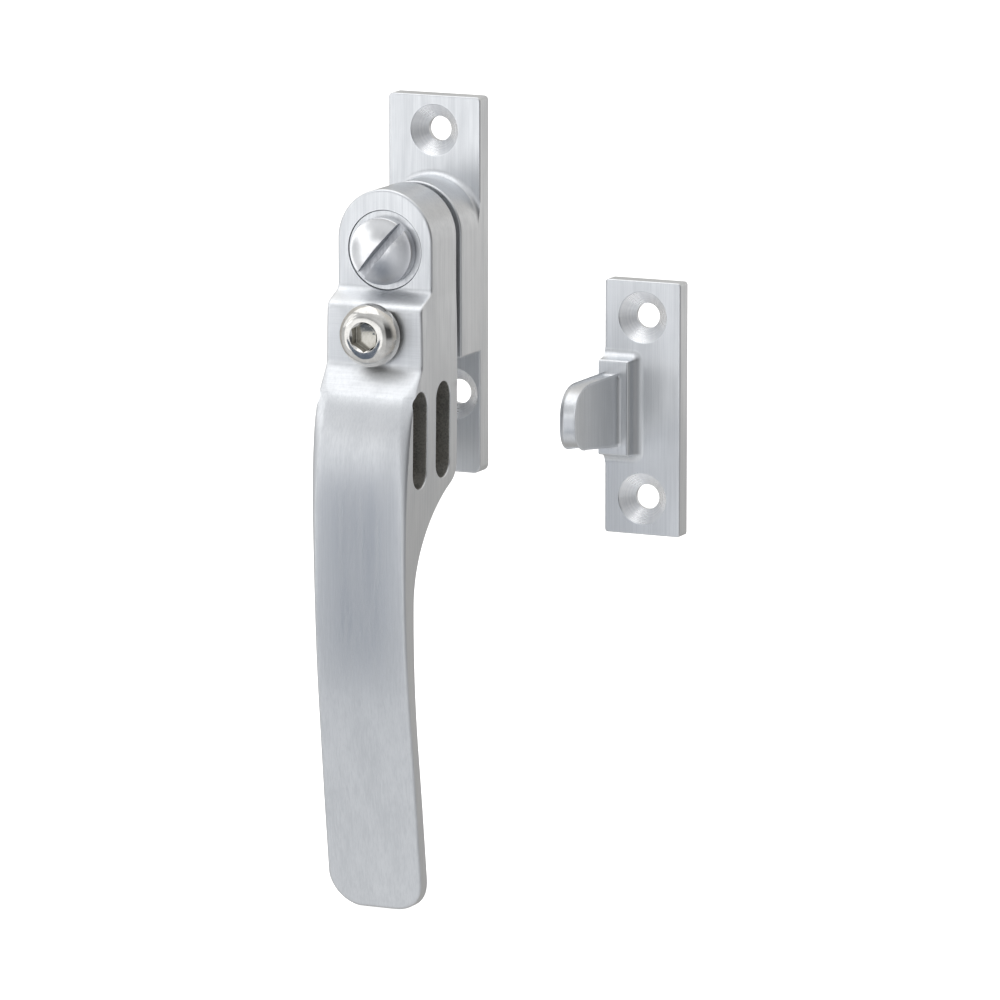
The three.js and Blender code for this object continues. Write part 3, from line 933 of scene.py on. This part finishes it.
def satin_steel(name, colour, darker, roughness=0.36, grain=(0.16, 0.16, 9.0)):
    """Brushed steel: fine scratches and a few longer ones, cloudy tone, edges rubbed brighter, and shade
    painted into corners and creases.
    """
    nodes = Nodes(name)
    fine = nodes.noise(grain, 2.0)
    long = nodes.noise((0.42, 0.42, 30.0), 3.0)
    cloud = nodes.noise((5.0, 5.0, 16.0), 4.0)
    tone = nodes.math("MULTIPLY", nodes.math("ADD", nodes.math("ADD", fine, long), cloud), 1 / 3)
    shade = nodes.spread(tone, 0.36, 0.64)
    worn = nodes.edges(0.35)
    plain = nodes.blend(shade, darker, colour)
    brighter = tuple(min(1.0, c * 1.06) for c in colour)
    rubbed = nodes.blend(worn, plain, brighter)
    # painted shade: the colour that corners and creases darken to
    deep = tuple(c * PAINTED_CORNER_SHADE for c in darker)
    painted_shade_mask = nodes.spread(nodes.open_share(PAINTED_SHADE_REACH), 0.0, 0.5)
    rough = nodes.spread(tone, 0.36, 0.64, roughness + 0.06, roughness - 0.05)
    rough = nodes.math("SUBTRACT", rough, nodes.math("MULTIPLY", worn, 0.05))
    nodes.bump(nodes.math("ADD", fine, nodes.math("MULTIPLY", long, 0.6)), 0.22, 0.012)
    nodes.shader.inputs["Anisotropic"].default_value = 0.35
    tangent = nodes.add("ShaderNodeTangent", direction_type="RADIAL", axis="Z")
    nodes.link(tangent.outputs["Tangent"], nodes.shader.inputs["Tangent"])
    return nodes.finish(nodes.blend(painted_shade_mask, deep, rubbed), rough)


def screw_steel_painted_shade():
    """The pivot screw: bright, with painted shade that darkens the head in cloudy patches, starting at its
    lower right.
    """
    nodes = Nodes("screw_steel_painted_shade")
    # painted shade: a slant across the head, broken up by cloudy noise, darkens it towards the lower right
    slant = nodes.vector("DOT_PRODUCT", nodes.place, (0.7 / MM, 0, -0.7 / MM))
    cloud = nodes.noise((2.2, 2.2, 2.2), 4.0)
    grains = nodes.noise((0.5, 0.5, 0.9), 2.0)
    place = nodes.math("ADD", slant, nodes.math("MULTIPLY", cloud, 6.0))
    patch = nodes.spread(place, 1.2, 5.4)
    tone = nodes.math("ADD", nodes.math("MULTIPLY", patch, 0.85), nodes.math("MULTIPLY", grains, 0.15))
    nodes.bump(grains, 0.15, 0.012)
    return nodes.finish(
        nodes.blend(tone, SCREW_LIT, SCREW_PAINTED_SHADE), nodes.spread(tone, 0.0, 1.0, 0.22, 0.32),
    )


def turned_steel(name, centre):
    """Steel turned about an axis along Y: fine rings, and glints painted into the colour that fan out from
    the middle.
    """
    nodes = Nodes(name)
    from_middle = nodes.vector("SUBTRACT", nodes.place, (centre[0] * MM, 0, centre[1] * MM))
    flat = nodes.vector("MULTIPLY", from_middle, (1, 0, 1))
    outwards = nodes.vector("NORMALIZE", flat)
    around = nodes.vector("CROSS_PRODUCT", outwards, (0, 1, 0))
    rings = nodes.add("ShaderNodeTexNoise", noise_dimensions="1D")
    rings.inputs["Scale"].default_value = 1 / (0.22 * MM)
    nodes.link(nodes.vector("LENGTH", flat), rings.inputs["W"])
    fan = nodes.add("ShaderNodeTexNoise")
    set_inputs(fan, {"Scale": 1.7, "Detail": 4.0})
    nodes.link(outwards, fan.inputs["Vector"])
    # painted glints: bright and dark sectors that fan out from the hole's middle
    painted_glints = nodes.spread(fan.outputs["Fac"], 0.36, 0.64)
    ring_tone = nodes.spread(rings.outputs["Fac"], 0.3, 0.7)
    tone = nodes.math("ADD", nodes.math("MULTIPLY", painted_glints, 0.65), nodes.math("MULTIPLY", ring_tone, 0.35))
    nodes.bump(rings.outputs["Fac"], 0.3, 0.015)
    nodes.shader.inputs["Anisotropic"].default_value = 0.75
    nodes.link(around, nodes.shader.inputs["Tangent"])
    return nodes.finish(
        nodes.blend(tone, TURNED_DARK, TURNED_BRIGHT), nodes.spread(tone, 0.0, 1.0, 0.36, 0.26), 0.6,
    )


def vent_wall_painted_shade():
    """The slots' walls: rough and slightly brown, and dark with painted shade inside the slots."""
    nodes = Nodes("vent_wall_painted_shade")
    grains = nodes.noise((0.35, 0.35, 0.35), 4.0)
    patches = nodes.noise((2.5, 2.5, 5.0), 3.0)
    tone = nodes.math("MULTIPLY", nodes.math("ADD", grains, patches), 0.5)
    shade = nodes.spread(tone, 0.36, 0.64)
    rubbed = nodes.blend(nodes.edges(0.4), nodes.blend(shade, VENT_WALL_SHADED_DARK, VENT_WALL_SHADED_BRIGHT), SATIN_DARK)
    nodes.bump(grains, 0.5, 0.04)
    return nodes.finish(rubbed, nodes.spread(tone, 0.36, 0.64, 0.6, 0.45))


def paint(thing, material, chosen):
    """Gives another material to the faces that chosen(middle in millimetres, normal) picks."""
    mesh = thing.data
    mesh.materials.append(material)
    for face in mesh.polygons:
        if chosen(face.center / MM, face.normal):
            face.material_index = len(mesh.materials) - 1


def turn_sinks(thing, centres, thickness):
    """Gives the countersinks of a finished plate their own turned finish."""
    for number, (x, z) in enumerate(centres):
        def in_sink(middle, normal, x=x, z=z):
            away = math.hypot(middle.x - x, middle.z - z)
            return away < SCREW_HOLE["sink_radius"] and middle.y > 0.05 - thickness and normal.y < -0.3
        paint(thing, turned_steel(f"{thing.name}_sink_{number + 1}", (x, z)), in_sink)


def in_vent_slot(middle, normal):
    """Whether a face of the handle is a wall of one of its two slots."""
    straight = VENT_SLOT_LENGTH / 2 - VENT_SLOT_RADIUS
    for y, z in VENT_SLOTS:
        away = math.hypot(middle.y - y, max(0.0, abs(middle.z - z) - straight))
        if away < VENT_SLOT_RADIUS + 0.05 and abs(normal.x) < 0.3:
            return True
    return False


def on_lock_pad(middle, normal):
    """Whether a face of the handle is on its step, lock pad or ramp, which are brushed across and given
    painted light.
    """
    return RAMP_FOOT + 0.1 < middle.z < STEP_TOP and middle.y < PAD_FRONT - 0.05 and abs(normal.x) < 0.5


def screw_slot_test():
    """A test for whether a face of the pivot screw is inside the slot of its head."""
    floor = node_box("pivot_screw")[0].y + PIVOT_SLOT["depth"]
    angle = math.radians(PIVOT_SLOT["angle"])

    def in_slot(middle, normal):
        aside = abs(middle.z * math.cos(angle) - middle.x * math.sin(angle))
        return aside < PIVOT_SLOT["width"] / 2 + 0.02 and middle.y < floor + 0.1

    return in_slot


def socket_test():
    """A test for whether a face of the lock screw is inside its hexagon socket."""
    mouth = node_box("lock_screw")[0].y + 0.4

    def in_socket(middle, normal):
        away = math.hypot(middle.x, middle.z - LOCK_HEIGHT)
        return away < SOCKET_CORNER + 0.02 and normal.y < 0.1 and mouth < middle.y < mouth + 4

    return in_socket


def polished_steel(name, bright, dull):
    """Mirror finish with a faint haze and a few fine marks, and shade painted into the socket and other
    hollows.
    """
    nodes = Nodes(name)
    haze = nodes.noise((1.6, 1.6, 1.6), 4.0)
    marks = nodes.noise((0.09, 0.6, 1.2), 2.0)
    shade = nodes.spread(haze, 0.35, 0.65)
    colour = nodes.blend(shade, dull, bright)
    # painted shade: the colour darkens deep in hollows such as the socket
    painted_shade_mask = nodes.spread(nodes.open_share(SOCKET_SHADE_REACH), 0.15, 0.7)
    hazy = nodes.spread(haze, 0.35, 0.65, 0.07, 0.13)
    marked = nodes.spread(marks, 0.55, 0.7, 0.0, 0.08)
    nodes.bump(marks, 0.06, 0.006)
    return nodes.finish(nodes.blend(painted_shade_mask, SOCKET_PAINTED_SHADE, colour), nodes.math("ADD", hazy, marked))


def spring_steel():
    """Darker rolled steel with a dull, slightly streaked surface."""
    nodes = Nodes("spring_steel")
    streaks = nodes.noise((0.3, 0.3, 4.0), 3.0)
    shade = nodes.spread(streaks, 0.35, 0.65)
    nodes.bump(streaks, 0.15, 0.01)
    return nodes.finish(
        nodes.blend(shade, SPRING_DARK, SPRING_BRIGHT), nodes.spread(streaks, 0.35, 0.65, 0.42, 0.3),
    )


def nylon():
    """Natural nylon, slightly cloudy and matt."""
    nodes = Nodes("nylon")
    cloud = nodes.noise((1.5, 1.5, 1.5), 3.0)
    shade = nodes.spread(cloud, 0.35, 0.65)
    nodes.bump(nodes.noise((0.2, 0.2, 0.2)), 0.1, 0.01)
    return nodes.finish(
        nodes.blend(shade, NYLON_DEEP, NYLON_PALE), nodes.spread(cloud, 0.35, 0.65, 0.62, 0.5), 0.0,
    )


# ---- Stage


def make_floor():
    lowest = cad_box[0].z / MM - FLOOR_GAP
    half = FLOOR_SIZE / 2
    corners = [(-half, -half, lowest), (half, -half, lowest), (half, half, lowest), (-half, half, lowest)]
    floor = body("floor", corners, [(0, 1, 2, 3)])
    floor.data.materials.append(stage_material("floor", (0.9, 0.9, 0.9), (1, 1, 1), 0.8))
    floor.visible_glossy = False
    floor.visible_shadow = False


def stage_material(name, colour, glow, strength):
    """Matt paint that gives off some light of its own."""
    material = bpy.data.materials.new(name)
    material.use_nodes = True
    set_inputs(material.node_tree.nodes["Principled BSDF"], {
        "Base Color": (*colour, 1),
        "Roughness": 0.9,
        "Specular IOR Level": 0.0,
        "Emission Color": (*glow, 1),
        "Emission Strength": strength,
    })
    return material


def make_flag(name, centre, aim, half_width, top_half_width, half_height, glow):
    """A dark upright card that the steel reflects and the camera doesn't see."""
    centre = Vector(centre)
    towards = Vector(aim) - centre
    across = Vector((-towards.y, towards.x, 0)).normalized()
    low, high = centre - Vector((0, 0, half_height)), centre + Vector((0, 0, half_height))
    corners = [low - across * half_width, low + across * half_width]
    corners += [high + across * top_half_width, high - across * top_half_width]
    flag = body(name, corners, [(0, 1, 2, 3)])
    flag.data.materials.append(stage_material(name, (0.0, 0.0, 0.0), glow, 1.0))
    flag.visible_camera = False
    flag.visible_diffuse = False


def softbox(name, towards, distance, width, height, radiance):
    """A flat light that faces the pivot from a direction; it doesn't show to the camera."""
    light = bpy.data.lights.new(name, "AREA")
    light.shape = "RECTANGLE"
    light.size, light.size_y = width * MM, height * MM
    light.energy = radiance * math.pi * width * height * MM * MM
    thing = bpy.data.objects.new(name, light)
    direction = Vector(towards).normalized()
    thing.location = direction * distance * MM
    thing.rotation_mode = "QUATERNION"
    thing.rotation_quaternion = direction.to_track_quat("Z", "Y")
    thing.visible_camera = False
    bpy.context.scene.collection.objects.link(thing)


def make_world():
    """Surroundings whose brightness goes by height, in front of and behind the object."""
    nodes = Nodes("studio", bpy.data.worlds, "Background", "Generated")
    bpy.context.scene.world = nodes.owner
    split = nodes.add("ShaderNodeSeparateXYZ")
    nodes.link(nodes.place, split.inputs["Vector"])
    left, right, behind = (
        height_ramp(nodes, split.outputs["Z"], stops, tint)
        for stops, tint in ((AHEAD_LEFT, AHEAD_TINT), (AHEAD_RIGHT, AHEAD_TINT), (BEHIND, BEHIND_TINT))
    )
    ahead = nodes.blend(nodes.spread(split.outputs["X"], *RIGHT_FROM_X), left, right)
    around = nodes.blend(nodes.spread(split.outputs["Y"], *BEHIND_FROM_Y), ahead, behind)
    nodes.link(around, nodes.shader.inputs["Color"])


def height_ramp(nodes, height, stops, tint):
    """A tinted grey that goes by the height of the direction."""
    shifted = nodes.math("MULTIPLY", nodes.math("ADD", height, 1.0), 0.5)
    ramp = nodes.add("ShaderNodeValToRGB")
    nodes.link(shifted, ramp.inputs["Fac"])
    places = [(position + 1) / 2 for position, _ in stops]
    ramp.color_ramp.elements[0].position = places[0]
    ramp.color_ramp.elements[1].position = places[-1]
    for position in places[1:-1]:
        ramp.color_ramp.elements.new(position)
    for element, (_, value) in zip(ramp.color_ramp.elements, stops):
        element.color = (*(value * share for share in tint), 1)
    return ramp.outputs["Color"]


def make_camera():
    azimuth, elevation = math.radians(CAMERA_AZIMUTH), math.radians(CAMERA_ELEVATION)
    back = Vector((
        math.sin(azimuth) * math.cos(elevation),
        -math.cos(azimuth) * math.cos(elevation),
        math.sin(elevation),
    ))
    right = Vector((math.cos(azimuth), math.sin(azimuth), 0))
    up = back.cross(right)
    data = bpy.data.cameras.new("camera")
    data.lens = CAMERA_LENS
    data.sensor_width = CAMERA_SENSOR
    data.clip_start, data.clip_end = 0.05, 100
    camera = bpy.data.objects.new("camera", data)
    bpy.context.scene.collection.objects.link(camera)
    spot = back * CAMERA_DISTANCE + right * CAMERA_ASIDE - up * CAMERA_BELOW
    camera.matrix_world = Matrix.Translation(spot * MM) @ Matrix((right, up, back)).transposed().to_4x4()
    bpy.context.scene.camera = camera
    bpy.context.scene.view_settings.view_transform = "Standard"


# ---- The assembly

satin = satin_steel("satin_steel", SATIN_BRIGHT, SATIN_DARK)
spring = spring_steel()
# painted light: a lighter copy of the satin steel, brushed across, for the step, lock pad and ramp
across_grain_lit = satin_steel("satin_steel_across_lit", PAD_LIT_BRIGHT, PAD_LIT_DARK, 0.45, (9.0, 0.16, 0.16))
# painted shade: a darker copy of the satin steel for the slot in the pivot screw's head
slot_painted_shade = satin_steel("slot_painted_shade", SLOT_SHADED_BRIGHT, SLOT_SHADED_DARK, 0.4, (0.5, 0.5, 0.9))
polished = polished_steel("polished_steel", POLISHED_BRIGHT, POLISHED_DARK)
# painted shade: a darker copy of the polished steel for the socket's walls
socket_painted_shade = polished_steel("socket_painted_shade", SOCKET_SHADED_BRIGHT, SOCKET_SHADED_DULL)

plate = back_plate()
finish_piece(plate, satin, "back_plate")
turn_sinks(plate, PLATE_HOLES, PLATE_THICKNESS)
grip = handle()
finish_piece(grip, satin, "handle")
paint(grip, across_grain_lit, on_lock_pad)
# painted shade: the vent slots' walls get the darker steel
paint(grip, vent_wall_painted_shade(), in_vent_slot)
keeper = hook_plate()
finish_piece(keeper, satin, "hook_plate")
turn_sinks(keeper, hook_holes(), HOOK_THICKNESS)
pivot = pivot_screw()
finish_piece(pivot, screw_steel_painted_shade(), "pivot_screw")
paint(pivot, slot_painted_shade, screw_slot_test())
lock = lock_screw()
finish_piece(lock, polished, "lock_screw")
paint(lock, socket_painted_shade, socket_test())
for node, material, slot, sizes in (
    ("face_washer", satin, "satin_steel", {"inner": 4.1, "edge": 0.15}),
    ("thrust_washer", spring, "spring_steel", {"inner": 4.1, "edge": 0.1}),
    ("spring_washer", spring, "spring_steel", SPRING_WASHER),
    ("lock_screw_clip", spring, "spring_steel", {"inner": 2.3, "edge": 0.12, "centre": (0, LOCK_HEIGHT)}),
    ("pivot_bush", nylon(), "nylon", {"inner": 4.1, "edge": 0.15}),
):
    finish_piece(washer(f"{node}_visual", node, **sizes), material, node)

make_floor()
make_flag("lever_flag", **LEVER_FLAG)
for box in SOFTBOXES:
    softbox(*box)
make_world()
make_camera()
